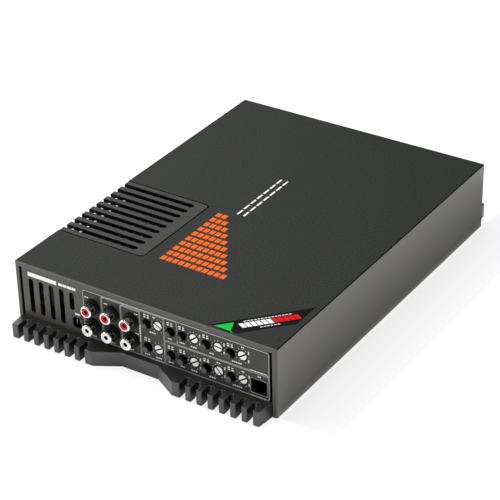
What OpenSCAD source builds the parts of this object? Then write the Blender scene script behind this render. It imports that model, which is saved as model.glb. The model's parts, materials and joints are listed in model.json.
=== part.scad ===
// Car amplifier: U-shaped cover over a heat-sink base with slotted mounting flanges at both
// ends, a control panel in front, wire terminals behind and a fan-cooled fin block inside.
// Millimetres. Origin: centre of the underside. +X right, +Y to the rear, +Z up.

/* [Case] */
// Width of the cover
case_w = 200; // [190:1:220]
// Length of the cover, without the flanges
case_l = 273; // [270:1:290]
// Height of the cover
case_h = 50; // [50:0.5:54]
// Thickness of the cover's side walls
side_t = 3.2; // [3:0.1:4]
// Thickness of the cover's top
top_t = 3; // [2:0.1:3.5]
// Chamfer on the cover's front and rear rims
rim_chamfer = 0.7; // [0.3:0.1:1]

/* [Mounting flanges] */
// How far each flange stands out past the cover
flange_out = 13.5; // [12:0.5:16]
// Thickness of the flanges
flange_h = 10.5; // [8:0.5:12]
// Width of a mounting slot
slot_w = 4.3; // [4.2:0.1:4.6]
// Distance from one mounting slot to the next
slot_pitch = 8.3; // [8:0.1:8.6]
// Slots on each side of the centre recess
slot_count = 7; // [4:1:7]
// Distance from the centre line to the innermost slot
slot_first = 38.8; // [37:0.1:40]

/* [Vent grille] */
// Width of the grille on the top
grille_w = 69; // [60:1:80]
// Length of the grille
grille_l = 79; // [77:1:84]
// Rear end of the grille, measured from the middle of the case
grille_back = -11.5; // [-20:0.5:-5]
// Slots in the grille
vent_count = 9; // [5:1:9]
// Distance from one vent slot to the next
vent_pitch = 8.1; // [8:0.1:8.4]
// Width of a vent slot
vent_w = 4.2; // [3:0.1:4.2]

/* [Front controls] */
// Outside diameter of a phono jack's barrel
jack_d = 8.3; // [8.2:0.05:8.4]
// Distance from one column of jacks to the next
jack_pitch = 15.05; // [14:0.05:15.4]
// Diameter of a push button's cap
button_d = 5; // [4:0.1:5.4]
// Travel of a push button
button_travel = 1.8; // [1:0.1:1.8]
// Diameter of a level control's shaft
shaft_d = 6; // [5:0.1:6.2]

/* [Cooling fan] */
// Side of the square fan
fan_side = 40; // [38:1:40]
// Depth of the fan
fan_depth = 20; // [15:1:20]
// Blades on the rotor
blade_count = 7; // [5:1:9]

/* [Hidden] */
button_count = 10;
knob_count = 8;

$fn = 48;
cut = 1;                                  // extra length that lets a cutter pass through a face
half_w = case_w / 2;
front_y = -case_l / 2;
rear_y = case_l / 2;
inner_x = half_w - side_t;                // inner face of a side wall
ceiling_z = case_h - top_t;               // underside of the cover's top
edge_r = 0.6;                             // rounding along the cover's long top edges
lip_w = 8;                                // inturned lips under the cover's sides
lip_t = 1.5;
cover_screw_y = [-110, -40, 40, 110];
cover_screw_r = 1.6;

// base
floor_z = 6;                              // top of the base inside the case
base_x = inner_x - 0.3;
flange_taper = 1.5;
flange_land = 4;                          // how far the thick flange runs in under the panel
recess_inner = 14;                        // half widths of the centre recess, inner and outer
recess_outer = 31.4;
recess_left = 3.6;                        // what the recess leaves of the flange
slot_end_r = 2.5;
slot_land = 4;                            // metal between a slot's end and the case
mouth_bevel = 1;                          // chamfers at a slot's mouth
tip_bevel = 0.5;                          // chamfers along the flange's outer edge

// panels
panel_t = 2;
panel_recess = 0.3;
panel_x = inner_x - 2.1;                  // leaves the dark gap beside each panel
panel_front = front_y + panel_recess;
panel_back = panel_front + panel_t;
rear_face = rear_y - panel_recess;
rear_inner = rear_face - panel_t;

// front vents: first slot centre, pitch, top, bottom
front_vent_x = -87.7;
front_vent_pitch = 8.25;
front_vent_w = 3.8;
front_vent_top = 39.8;
front_vent_bottom = 13.9;
short_vent_x = -54.7;
short_vent_bottom = 26.8;

// grille
grille_gap = 1;
grille_pocket = 0.8;                      // hollow under the slotted field
grille_front = grille_back - grille_l;
grille_right = -half_w + grille_w;
grille_corner = 4;
grille_foot = 14;                         // lower end of the grille's side leg
vent_end_x = -42.3;                       // centre of the slots' round ends
vent_foot = 21;

// jacks
jack_x = [for (i = [0:2]) -37.85 + i * jack_pitch];
jack_z = [34.8, 20.7];
jack_reach = 7.7;                         // how far a jack stands out of the case's front
jack_bore = 3;
jack_base_d = 11;
jack_base_out = 1.2;                      // how far the moulded base stands out of the case's front
jack_step = 0.45;                         // the barrel's neck is this much smaller in radius
jack_front = front_y - jack_reach;
pin_bore = 1.6;
pin_mouth = 4.2;                          // depth at which the contact begins

// controls: x places of the columns, z of the rows
button_x = [4.4, 22.2, 31.0, 48.9, 66.9];
button_z = [36.3, 19.0];
knob_x = [12.6, 39.7, 57.7, 75.4];
knob_z = [37.4, 20.0];
knob_turn = [-30, 40, -5, 35, 30, 35, -50, 35];   // how each screwdriver slot stands at rest
button_reach = 3.4;
bush_r = shaft_d / 2 + 0.7;               // black bush round each level shaft
fit = 0.05;                               // radial clearance of a running fit
input_board_y = -121.6;
board_t = 1.6;

// sockets
remote_x = -51.3;
remote_z = 18.4;
data_x = 87.3;
data_z = 18.8;

// fan and fins
fan_x = -76.2;
fan_z = 27.3;
fan_front = -131;
fan_back = fan_front + fan_depth;
fan_bore = 19;
fan_hub = 8;
screw_grid = 16;
bracket_t = 1.5;
fin_pitch = 6.5;
fin_first = -94.8;
fin_t = 1.5;
fin_front = -106;
fin_rear = -14;
tall_fin = 46.4;
fin_peak = 47.55;                         // where the first two fins reach into the grille's hollow
low_fin = 36;

// boards
board_z = 11;
board_x = [-30, 78];
board_y = [-118, 127];
wing_x = -92;
wing_y = -4;
standoff_at = [[-24, -112], [72, -112], [-24, 0], [72, 0], [72, 120], [-86, 120], [-86, 4]];

// rear terminals
block_out = 11.5;                         // how far the terminal housings stand out
clamp_face = rear_face + block_out - 2;
power_at = [-80, -62];
power_pitch = 18;
gate_x = -47;                             // the small turn-on terminal
gate_r = 1.6;
power_z = 22;
power_r = 4.2;
speaker_pitch = 8.6;
speaker_x = [for (i = [0:9]) 8 + i * speaker_pitch];
speaker_z = 20;
speaker_r = 1.9;
fuse_x = [-31, -19, -7];
fuse_z = 27;

transformer_at = [[-64, 34], [-64, 86]];
cap_at = [for (r = [0:1], c = [0:2]) [-18 + 24 * r, 22 + 26 * c]];
coil_at = [for (i = [0:4]) [56, -96 + 27 * i]];
transistor_y = [for (i = [0:9]) -104 + 22 * i];

// ---- shared shapes ----

// A box between two corners
module block(low, high) {
    translate(low) cube([for (i = [0:2]) high[i] - low[i]]);
}

// A cylinder that lies along Y from y0 to y1
module rod_y(x, z, r, y0, y1) {
    translate([x, y1, z]) rotate([90, 0, 0]) cylinder(r = r, h = y1 - y0);
}

// A slot with round ends, upright in the X-Z plane, cut through along Y
module upright_slot(x, w, z0, z1, y0, y1) {
    block([x - w / 2, y0, z0 + w / 2], [x + w / 2, y1, z1 - w / 2]);
    rod_y(x, z0 + w / 2, w / 2, y0, y1);
    rod_y(x, z1 - w / 2, w / 2, y0, y1);
}

// A rectangle with one corner radius
module round_rect(low, high, r) {
    translate([low[0] + r, low[1]]) square([high[0] - low[0] - 2 * r, high[1] - low[1]]);
    translate([low[0], low[1] + r]) square([high[0] - low[0], high[1] - low[1] - 2 * r]);
    for (x = [low[0] + r, high[0] - r])
        for (y = [low[1] + r, high[1] - r])
            translate([x, y]) circle(r = r);
}

// A long 45 degree cutter whose ridge lies on an edge; axis is 0 for X, 1 for Y, 2 for Z
module edge_cutter(size, length, axis) {
    turn = axis == 0 ? [45, 0, 0] : axis == 1 ? [0, 45, 0] : [0, 0, 45];
    side = size * sqrt(2);
    dims = [for (i = [0:2]) i == axis ? length : side];
    rotate(turn) cube(dims, center = true);
}

// A pan-head screw that points down, its seat at z = 0
module pan_screw(r, length, head_r, head_h) {
    translate([0, 0, -length]) cylinder(r = r, h = length + 0.01);
    difference() {
        cylinder(r = head_r, h = head_h);
        for (a = [0, 90])
            rotate(a) translate([-head_r * 0.6, -0.3, head_h - 0.7]) cube([head_r * 1.2, 0.6, cut]);
    }
}

// ---- base ----

// One end of the base, seen from above: toothed flange with its centre recess
module flange_outline() {
    tip = front_y - flange_out;
    shelf = front_y - recess_left;
    difference() {
        polygon([
            [-base_x, 0], [-base_x, front_y], [-base_x + flange_taper, tip],
            [-recess_outer, tip], [-recess_inner, shelf], [recess_inner, shelf],
            [recess_outer, tip], [base_x - flange_taper, tip], [base_x, front_y], [base_x, 0]
        ]);
        for (side = [-1, 1])
            for (i = [0:slot_count - 1]) {
                x = side * (slot_first + i * slot_pitch);
                end_y = front_y - slot_land - slot_end_r;
                translate([x - slot_w / 2, tip - cut]) square([slot_w, end_y - tip + cut]);
                translate([x, end_y]) circle(r = slot_end_r);
                for (s = [-1, 1])
                    translate([x + s * slot_w / 2, tip]) rotate(45) square(mouth_bevel, center = true);
            }
    }
}

module flange_bevels() {
    for (z = [0, flange_h])
        translate([0, front_y - flange_out, z]) edge_cutter(tip_bevel, case_w, 0);
}

module base_plate() {
    color("#2b2c2b") difference() {
        union() {
            for (end = [0, 1])
                mirror([0, end, 0]) difference() {
                    linear_extrude(flange_h) flange_outline();
                    block([-case_w, front_y + flange_land, floor_z], [case_w, cut, case_h]);
                    flange_bevels();
                }
        }
        for (s = [-1, 1])
            block([min(s * (base_x + cut), s * (inner_x - lip_w - 0.3)), front_y - 0.5, -cut],
                  [max(s * (base_x + cut), s * (inner_x - lip_w - 0.3)), rear_y + 0.5, lip_t + 0.1]);
        for (s = [-1, 1])
            for (y = cover_screw_y)
                translate([s * (inner_x - lip_w / 2), y, -cut]) cylinder(r = cover_screw_r, h = floor_z);
        for (at = standoff_at)
            translate([at[0], at[1], floor_z - 3]) cylinder(r = cover_screw_r, h = 4);
    }
}

// ---- cover ----

module cover_profile() {
    difference() {
        union() {
            translate([-half_w, 0]) square([case_w, case_h - edge_r]);
            translate([-half_w + edge_r, 0]) square([case_w - 2 * edge_r, case_h]);
            for (s = [-1, 1]) translate([s * (half_w - edge_r), case_h - edge_r]) circle(r = edge_r);
        }
        translate([-inner_x, lip_t]) square([2 * inner_x, ceiling_z - lip_t]);
        translate([-inner_x + lip_w, -cut]) square([2 * (inner_x - lip_w), case_h / 2]);
    }
}

module case_shell() {
    color("#5b5c58") difference() {
        translate([0, rear_y, 0]) rotate([90, 0, 0]) linear_extrude(case_l) cover_profile();
        for (y = [front_y, rear_y]) {
            translate([0, y, case_h]) edge_cutter(rim_chamfer, case_w + 4, 0);
            for (s = [-1, 1])
                translate([s * half_w, y, case_h / 2]) edge_cutter(rim_chamfer, case_h + 4, 2);
        }
        translate([0, 0, case_h - top_t - cut]) linear_extrude(top_t + 2 * cut)
            round_rect([-half_w - 10, grille_front], [grille_right, grille_back], grille_corner);
        block([-half_w - cut, grille_front, grille_foot], [-inner_x + cut, grille_back, case_h]);
        for (s = [-1, 1])
            for (y = cover_screw_y) {
                x = s * (inner_x - lip_w / 2);
                translate([x, y, -cut]) cylinder(r = cover_screw_r + 0.1, h = lip_t + 2 * cut);
                translate([x, y, -0.01]) cylinder(r1 = 3, r2 = cover_screw_r + 0.1, h = 1.3);
            }
    }
}

module vent_grille() {
    g = grille_gap;
    top_low = [-half_w, grille_front + g];
    first_y = (grille_front + grille_back) / 2 - (vent_count - 1) / 2 * vent_pitch;
    color("#50504c") difference() {
        union() {
            intersection() {
                translate([0, 0, ceiling_z]) linear_extrude(top_t)
                    round_rect([-half_w - 10, grille_front + g], [grille_right - g, grille_back - g],
                               grille_corner - g);
                block([-half_w, grille_front, 0], [half_w, grille_back, case_h + cut]);
            }
            block([-half_w, top_low[1], grille_foot + g], [-inner_x, grille_back - g, case_h - 0.5]);
            block([grille_right - 3, top_low[1] + 4, ceiling_z - 1.2],
                  [grille_right + 4, grille_back - 5, ceiling_z]);
        }
        translate([-half_w, (grille_front + grille_back) / 2, case_h]) edge_cutter(0.8, grille_l + 4, 1);
        block([-inner_x, first_y - vent_w / 2 - 1.5, ceiling_z - cut],
              [vent_end_x + 3.2, first_y + (vent_count - 1) * vent_pitch + vent_w / 2 + 1.5,
               ceiling_z + grille_pocket]);
        for (i = [0:vent_count - 1]) {
            y = first_y + i * vent_pitch;
            block([-half_w - cut, y - vent_w / 2, ceiling_z - 2], [vent_end_x, y + vent_w / 2, case_h + cut]);
            translate([vent_end_x, y, ceiling_z - 2]) cylinder(r = vent_w / 2, h = top_t + 4);
            block([-half_w - cut, y - vent_w / 2, vent_foot], [-inner_x + cut, y + vent_w / 2, case_h]);
            translate([-half_w - cut, y, vent_foot]) rotate([0, 90, 0])
                cylinder(r = vent_w / 2, h = side_t + 2 * cut);
        }
    }
}

module cover_screws() {
    color("#1c1c1c") for (s = [-1, 1])
        for (y = cover_screw_y)
            translate([s * (inner_x - lip_w / 2), y, 0.1]) difference() {
                union() {
                    cylinder(r1 = 2.8, r2 = 1.5, h = 1.2);
                    cylinder(r = 1.5, h = 4.6);
                }
                cylinder(r = 1, h = 1.2, center = true, $fn = 6);
            }
}

// ---- panels ----

module front_panel() {
    color("#4e4d49") difference() {
        block([-panel_x, panel_front, flange_h], [panel_x, panel_back, ceiling_z]);
        for (i = [0:3])
            upright_slot(front_vent_x + i * front_vent_pitch, front_vent_w, front_vent_bottom,
                         front_vent_top, panel_front - cut, panel_back + cut);
        upright_slot(short_vent_x, front_vent_w, short_vent_bottom, front_vent_top,
                     panel_front - cut, panel_back + cut);
        for (x = jack_x)
            for (z = jack_z) rod_y(x, z, jack_base_d / 2 + 0.1, panel_front - cut, panel_back + cut);
        for (x = button_x)
            for (z = button_z) rod_y(x, z, 3.4, panel_front - cut, panel_back + cut);
        for (x = knob_x)
            for (z = knob_z) rod_y(x, z, bush_r + fit, panel_front - cut, panel_back + cut);
        remote_shell(0.1, panel_front - cut, panel_back + cut);
        block([data_x - 6.6, panel_front - cut, data_z - 5.8],
              [data_x + 6.6, panel_back + cut, data_z + 5.8]);
    }
}

module rear_panel() {
    color("#4e4d49") difference() {
        block([-panel_x, rear_inner, flange_h], [panel_x, rear_face, ceiling_z]);
        block([power_at[0] - 10.2, rear_inner - cut, 13.3], [gate_x + 6.2, rear_face + cut, 34.7]);
        block([speaker_x[0] - 5, rear_inner - cut, 13.3], [speaker_x[9] + 5, rear_face + cut, 31.2]);
        block([fuse_x[0] - 6, rear_inner - cut, 15.3], [fuse_x[2] + 6, rear_face + cut, 38.7]);
    }
}

// ---- cooling ----

module fin_block() {
    color("#232423") difference() {
        union() {
            block([fin_first - fin_t / 2, fin_front, floor_z], [-40, fin_rear, floor_z + 4]);
            for (i = [0:8]) {
                x = fin_first + i * fin_pitch;
                block([x - fin_t / 2, fin_front, floor_z + 3],
                      [x + fin_t / 2, fin_rear, i < 2 ? tall_fin : low_fin]);
                if (i < 2)
                    block([x - fin_t / 2, -86, tall_fin - 1], [x + fin_t / 2, -31, fin_peak]);
            }
        }
        for (x = [-91.5, -46])
            for (y = [-96, -24])
                translate([x, y, floor_z - cut]) cylinder(r = 1.6, h = 6);
    }
}

module fan_bracket() {
    y = fan_back;
    half = fan_side / 2;
    color("#b9bbb8") difference() {
        union() {
            block([fan_x - half, y, floor_z], [fan_x + half, y + bracket_t, fan_z + half - 0.4]);
            block([fan_x + half, y, floor_z], [-38, y + bracket_t, 30]);
            block([-50, y, floor_z], [-38, y + 4.4, floor_z + bracket_t]);
        }
        rod_y(fan_x, fan_z, fan_bore, y - cut, y + bracket_t + cut);
        for (sx = [-1, 1])
            for (sz = [-1, 1])
                rod_y(fan_x + sx * screw_grid, fan_z + sz * screw_grid, 1.55, y - cut, y + bracket_t + cut);
    }
}

module fan_frame() {
    half = fan_side / 2;
    color("#171717") {
        difference() {
            block([fan_x - half, fan_front, fan_z - half], [fan_x + half, fan_back, fan_z + half - 0.4]);
            rod_y(fan_x, fan_z, fan_bore, fan_front - cut, fan_back + cut);
            for (sx = [-1, 1])
                for (sz = [-1, 1])
                    rod_y(fan_x + sx * screw_grid, fan_z + sz * screw_grid, 1.7,
                          fan_front - cut, fan_back + cut);
        }
        difference() {
            union() {
                rod_y(fan_x, fan_z, fan_hub, fan_back - 3, fan_back);
                for (a = [45, 135])
                    translate([fan_x, fan_back - 1.5, fan_z]) rotate([0, a, 0])
                        cube([2.4, 3, 2 * fan_bore + 0.6], center = true);
                rod_y(fan_x, fan_z, 3, fan_back - 9, fan_back);
            }
            rod_y(fan_x, fan_z, 1 + fit, fan_back - 10, fan_back - 1);
        }
    }
}

module fan_rotor() {
    cup_back = fan_back - 4;
    color("#202020") {
        difference() {
            rod_y(fan_x, fan_z, fan_hub, fan_front + 1, cup_back);
            rod_y(fan_x, fan_z, fan_hub - 1.2, fan_front + 3, cup_back + cut);
        }
        rod_y(fan_x, fan_z, 1, fan_front + 2, fan_back - 2);
        intersection() {
            difference() {
                rod_y(fan_x, fan_z, fan_bore - 0.8, fan_front + 1.5, cup_back);
                rod_y(fan_x, fan_z, fan_hub - 0.4, fan_front, cup_back + cut);
            }
            translate([fan_x, (fan_front + cup_back) / 2, fan_z]) for (i = [0:blade_count - 1])
                rotate([0, i * 360 / blade_count, 0]) rotate([0, 0, 40])
                    translate([-10, -0.6, 0]) cube([20, 1.2, fan_bore + 2]);
        }
    }
}

module fan_screws() {
    color("#c9cac8") for (sx = [-1, 1])
        for (sz = [-1, 1])
            translate([fan_x + sx * screw_grid, fan_front, fan_z + sz * screw_grid])
                rotate([90, 0, 0]) pan_screw(1.5, fan_depth + bracket_t + 1, 2.8, 1.2);
}

module chassis_screws() {
    color("#c9cac8") {
        for (x = [-91.5, -46])
            for (y = [-96, -24])
                translate([x, y, floor_z + 4]) pan_screw(1.5, 4, 2.4, 1.8);
        for (y = transistor_y)
            if (y < transistor_y[9])
                translate([88, y + 11, 14.4]) pan_screw(1.5, 8.4, 2.6, 1.8);
    }
}

// ---- boards ----

module main_board() {
    color("#1d4a2c") difference() {
        union() {
            block([board_x[0], board_y[0], board_z], [board_x[1], board_y[1], board_z + board_t]);
            block([wing_x, wing_y, board_z], [board_x[0], board_y[1], board_z + board_t]);
        }
        for (at = standoff_at)
            translate([at[0], at[1], board_z - cut]) cylinder(r = 1.6, h = board_t + 2 * cut);
        for (at = transformer_at)
            translate([at[0], at[1], board_z - cut]) cylinder(r = 2.6, h = board_t + 2 * cut);
    }
}

module board_standoffs() {
    color("#c8a24a") for (at = standoff_at)
        translate([at[0], at[1], floor_z]) difference() {
            cylinder(r = 3.2, h = board_z - floor_z, $fn = 6);
            translate([0, 0, -cut]) cylinder(r = 1.5 + fit, h = 2 * case_h);
        }
}

module board_screws() {
    color("#c9cac8") for (at = standoff_at)
        translate([at[0], at[1], board_z + board_t]) pan_screw(1.5, 8, 2.8, 1.8);
}

module input_board() {
    color("#1d4a2c") difference() {
        block([-56, input_board_y, 13], [94.5, input_board_y + board_t, 44.5]);
        block([-60, input_board_y - cut, 30], [-45, input_board_y + board_t + cut, 46]);
    }
}

module board_link() {
    color("#111111") for (x = [-17, 20, 46])
        block([x, input_board_y + board_t, board_z + board_t], [x + 16, input_board_y + 9, 16.5]);
}

// ---- phono jacks ----

module rca_housings() {
    color("#141414") for (x = jack_x) difference() {
        union() {
            block([x - 5.9, panel_back, 14.3], [x + 5.9, input_board_y, 42.4]);
            for (z = jack_z) rod_y(x, z, jack_base_d / 2, front_y - jack_base_out, panel_back);
        }
        for (z = jack_z) rod_y(x, z, jack_d / 2 - jack_step, front_y - 3, panel_back + 4);
    }
}

module rca_barrels() {
    r = jack_d / 2;
    reach = panel_back + 4 - jack_front;
    neck = panel_back + 4 - (front_y - jack_base_out);
    color("#d8d8d4") for (x = jack_x)
        for (z = jack_z)
            translate([x, panel_back + 4, z]) rotate([90, 0, 0]) rotate_extrude()
                polygon([
                    [jack_bore, 0], [r - jack_step, 0], [r - jack_step, neck], [r, neck],
                    [r, reach - 0.5], [r - 0.5, reach], [jack_bore, reach]
                ]);
}

module rca_insert(x, z) {
    difference() {
        rod_y(x, z, jack_bore, jack_front + 0.3, panel_back + 4);
        rod_y(x, z, pin_bore, jack_front - cut, jack_front + pin_mouth + cut);
        rod_y(x, z, pin_bore + 0.4, jack_front + pin_mouth, panel_back + 2);
    }
}

module rca_inserts_red() {
    color("#b3161b") for (x = jack_x) rca_insert(x, jack_z[0]);
}

module rca_inserts_white() {
    color("#eeeeea") for (x = jack_x) rca_insert(x, jack_z[1]);
}

module rca_contacts() {
    color("#c8a24a") for (x = jack_x)
        for (z = jack_z) difference() {
            rod_y(x, z, pin_bore + 0.4, jack_front + pin_mouth, panel_back + 2);
            rod_y(x, z, pin_bore, jack_front - cut, panel_back + 1);
        }
}

// ---- switches and level controls ----

// Place of push button i, counted along the top row and then the bottom row
function button_at(i) = [button_x[i % 5], button_z[floor(i / 5)]];
function knob_at(i) = [knob_x[i % 4], knob_z[floor(i / 4)]];

module switch_bodies() {
    color("#151515") for (i = [0:button_count - 1]) {
        at = button_at(i);
        difference() {
            block([at[0] - 3.8, front_y + 5.7, at[1] - 3.8], [at[0] + 3.8, input_board_y, at[1] + 3.8]);
            rod_y(at[0], at[1], 1.6 + fit, front_y, front_y + 9.2 + button_travel);
        }
    }
}

module push_button(i) {
    at = button_at(i);
    nose = front_y - button_reach;
    color("#262626") {
        translate([at[0], front_y + 3.5, at[1]]) rotate([90, 0, 0]) rotate_extrude()
            polygon([
                [0, 0], [button_d / 2, 0], [button_d / 2, 3.5 + button_reach - 0.4],
                [button_d / 2 - 0.4, 3.5 + button_reach], [0, 3.5 + button_reach]
            ]);
        rod_y(at[0], at[1], 1.6, nose + 2, front_y + 8.8);
    }
}

module pot_bodies() {
    color("#151515") for (i = [0:knob_count - 1]) {
        at = knob_at(i);
        difference() {
            union() {
                block([at[0] - 4.1, front_y + 4.9, at[1] - 4.1],
                      [at[0] + 4.1, input_board_y, at[1] + 4.1]);
                rod_y(at[0], at[1], bush_r, panel_front + 0.1, front_y + 5);
            }
            rod_y(at[0], at[1], shaft_d / 2 + fit, front_y - cut, front_y + 9);
        }
    }
}

module level_shaft(i) {
    at = knob_at(i);
    color("#e8e8e2") translate([at[0], 0, at[1]]) difference() {
        rod_y(0, 0, shaft_d / 2, panel_front - 0.1, front_y + 8.6);
        translate([0, panel_front, 0]) rotate([0, -knob_turn[i], 0])
            cube([shaft_d + cut, 2.4, 1], center = true);
    }
}

// ---- sockets ----

// The small socket's outline, with cut corners, grown by g
module remote_shell(g, y0, y1) {
    w = 4.6 + g;
    h = 5.2 + g;
    c = 1.6;
    translate([remote_x, y1, remote_z]) rotate([90, 0, 0]) linear_extrude(y1 - y0)
        polygon([
            [-w, -h + c], [-w + c, -h], [w - c, -h], [w, -h + c],
            [w, h - c], [w - c, h], [-w + c, h], [-w, h - c]
        ]);
}

module remote_socket() {
    color("#101010") difference() {
        remote_shell(0, panel_front - 0.4, input_board_y);
        remote_shell(-1.2, panel_front - cut, panel_front + 8);
    }
}

module remote_pins() {
    color("#d8d8d4") for (s = [-1, 1])
        block([remote_x + s * 1.3 - 0.3, panel_front + 1.2, remote_z - 1.5],
              [remote_x + s * 1.3 + 0.3, panel_front + 8, remote_z + 1.5]);
}

module data_socket() {
    color("#0e0f10") difference() {
        block([data_x - 6.5, panel_front - 0.3, data_z - 5.7],
              [data_x + 6.5, input_board_y, data_z + 5.7]);
        block([data_x - 5.5, panel_front - cut, data_z - 2.6],
              [data_x + 5.5, panel_front + 11, data_z + 4.4]);
        block([data_x - 3.1, panel_front - cut, data_z - 4.2],
              [data_x + 3.1, panel_front + 11, data_z - 2.5]);
        block([data_x - 1.6, panel_front - cut, data_z - 5.1],
              [data_x + 1.6, panel_front + 6, data_z - 4.1]);
    }
}

module data_contacts() {
    color("#c8a24a") for (i = [0:7])
        block([data_x - 3.57 + i * 1.02 - 0.2, panel_front + 4, data_z + 3.6],
              [data_x - 3.57 + i * 1.02 + 0.2, panel_front + 11, data_z + 4.4]);
}

// ---- rear terminals ----

// The housing of one pole: a pocket that is open inside the case, a wire entry and a screw hole
module pole_housing(x0, x1, x, z, z1, half, wire_r, screw_r) {
    difference() {
        block([x0, rear_inner - 8, 13.5], [x1, rear_face + block_out, z1]);
        block([x - half, rear_inner - 9, z - half], [x + half, clamp_face, z + half]);
        rod_y(x, z, wire_r, rear_face, rear_face + block_out + cut);
        translate([x, rear_face + 4, z]) cylinder(r = screw_r, h = 20);
    }
}

// The metal clamp of one pole, bored for the wire and for its screw
module pole_clamp(x, z, half, wire_r, screw_r) {
    difference() {
        block([x - half, rear_inner - 6, z - half], [x + half, clamp_face, z + half]);
        rod_y(x, z, wire_r, rear_inner - 4, clamp_face + cut);
        translate([x, rear_face + 4, z]) cylinder(r = screw_r + fit, h = 20);
    }
}

module power_terminal_block() {
    color("#121212") {
        for (x = power_at)
            pole_housing(x - power_pitch / 2, x + power_pitch / 2, x, power_z, 34.5, 7, power_r, 3.4);
        pole_housing(gate_x - 6, gate_x + 6, gate_x, power_z, 34.5, 4, gate_r, 1.9);
    }
}

module power_clamps() {
    color("#d6c58a") {
        for (x = power_at) pole_clamp(x, power_z, 7, power_r, 3);
        pole_clamp(gate_x, power_z, 4, gate_r, 1.5);
    }
}

module speaker_terminal_block() {
    half = speaker_pitch / 2;
    color("#121212") for (x = speaker_x)
        pole_housing(x - half, x + half, x, speaker_z, 31, 3.4, speaker_r, 2.3);
}

module speaker_clamps() {
    color("#d6c58a") for (x = speaker_x) pole_clamp(x, speaker_z, 3.4, speaker_r, 1.5);
}

// A headless set screw, hexagon socket up
module set_screw(x, z0, z1, r) {
    translate([x, rear_face + 4, z0]) difference() {
        cylinder(r = r, h = z1 - z0);
        translate([0, 0, z1 - z0 - 1.5]) cylinder(r = r * 0.55, h = 2, $fn = 6);
    }
}

module terminal_screws() {
    color("#c9cac8") {
        for (x = power_at) set_screw(x, power_z + power_r + 0.2, 33, 3);
        set_screw(gate_x, power_z + 1.8, 33, 1.5);
        for (x = speaker_x) set_screw(x, speaker_z + speaker_r + 0.2, 29.5, 1.5);
    }
}

module fuse_holder() {
    color("#121212") difference() {
        block([fuse_x[0] - 5.8, rear_inner - 8, 15.5], [fuse_x[2] + 5.8, rear_face + 5, 38.5]);
        for (x = fuse_x) {
            block([x - 2.7, rear_face - 1, fuse_z - 9.8], [x + 2.7, rear_face + 6, fuse_z + 9.8]);
            for (s = [-1, 1])
                block([x - 0.5, rear_inner - 5, fuse_z + s * 6.5 - 2.7],
                      [x + 0.5, rear_face, fuse_z + s * 6.5 + 2.7]);
        }
    }
}

module blade_fuses() {
    color("#3fa35a") for (x = fuse_x) difference() {
        union() {
            block([x - 2.5, rear_face - 1, fuse_z - 9.5], [x + 2.5, rear_face + 8, fuse_z + 9.5]);
            block([x - 1.7, rear_face + 8, fuse_z - 7.5], [x + 1.7, rear_face + 10.5, fuse_z + 7.5]);
        }
        for (s = [-1, 1])
            block([x - 0.5, rear_face - 2, fuse_z + s * 6.5 - 2.7],
                  [x + 0.5, rear_face + 6, fuse_z + s * 6.5 + 2.7]);
    }
}

module fuse_blades() {
    color("#c9cac8") for (x = fuse_x)
        for (s = [-1, 1])
            block([x - 0.4, rear_inner - 4.5, fuse_z + s * 6.5 - 2.6],
                  [x + 0.4, rear_face + 6, fuse_z + s * 6.5 + 2.6]);
}

// ---- power parts ----

module transformers() {
    color("#a8552a") for (at = transformer_at)
        translate([at[0], at[1], board_z + board_t + 2]) rotate_extrude()
            translate([15, 9]) round_rect([-7, -9], [7, 9], 4);
}

module transformer_mounts() {
    top = board_z + board_t + 20;
    color("#c9cac8") for (at = transformer_at) translate([at[0], at[1], 0]) {
        translate([0, 0, top]) cylinder(r = 14, h = 1.5);
        translate([0, 0, floor_z]) cylinder(r = 2, h = top + 5 - floor_z);
        translate([0, 0, top + 1.5]) cylinder(r = 4, h = 3.2, $fn = 6);
        translate([0, 0, board_z + board_t]) cylinder(r = 14, h = 2);
    }
}

module capacitors() {
    color("#22304c") for (at = cap_at)
        translate([at[0], at[1], board_z + board_t]) difference() {
            cylinder(r = 10, h = 31);
            translate([0, 0, 30.6]) cylinder(r = 9, h = 1);
            translate([0, 0, 3]) rotate_extrude() translate([10.2, 0]) circle(r = 0.9);
        }
}

module output_coils() {
    color("#b5652f") for (at = coil_at)
        translate([at[0], at[1], board_z + board_t]) difference() {
            cylinder(r = 9, h = 14);
            translate([0, 0, -cut]) cylinder(r = 3.4, h = 20);
        }
}

module power_transistors() {
    color("#1a1a1a") for (y = transistor_y) {
        block([81, y - 5, floor_z], [95.5, y + 5, floor_z + 4.4]);
        for (s = [-1, 0, 1])
            block([77, y + s * 2.54 - 0.4, floor_z + 2], [81, y + s * 2.54 + 0.4, floor_z + 2.6]);
    }
}

module clamp_bars() {
    color("#b9bbb8") difference() {
        block([84, transistor_y[0] - 7, floor_z + 4.4], [92, transistor_y[9] + 7, floor_z + 8.4]);
        for (y = transistor_y)
            if (y < transistor_y[9])
                translate([88, y + 11, floor_z]) cylinder(r = 1.6, h = 12);
    }
}

base_plate();
case_shell();
vent_grille();
front_panel();
rear_panel();
cover_screws();
fin_block();
fan_bracket();
fan_frame();
fan_rotor();
fan_screws();
chassis_screws();
main_board();
board_standoffs();
board_screws();
input_board();
board_link();
rca_housings();
rca_barrels();
rca_inserts_red();
rca_inserts_white();
rca_contacts();
switch_bodies();
pot_bodies();
remote_socket();
remote_pins();
data_socket();
data_contacts();
power_terminal_block();
power_clamps();
speaker_terminal_block();
speaker_clamps();
terminal_screws();
fuse_holder();
blade_fuses();
fuse_blades();
transformers();
transformer_mounts();
capacitors();
output_coils();
power_transistors();
clamp_bars();
for (i = [1:button_count])
    push_button(i - 1);
for (i = [1:knob_count])
    level_shaft(i - 1);
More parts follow.
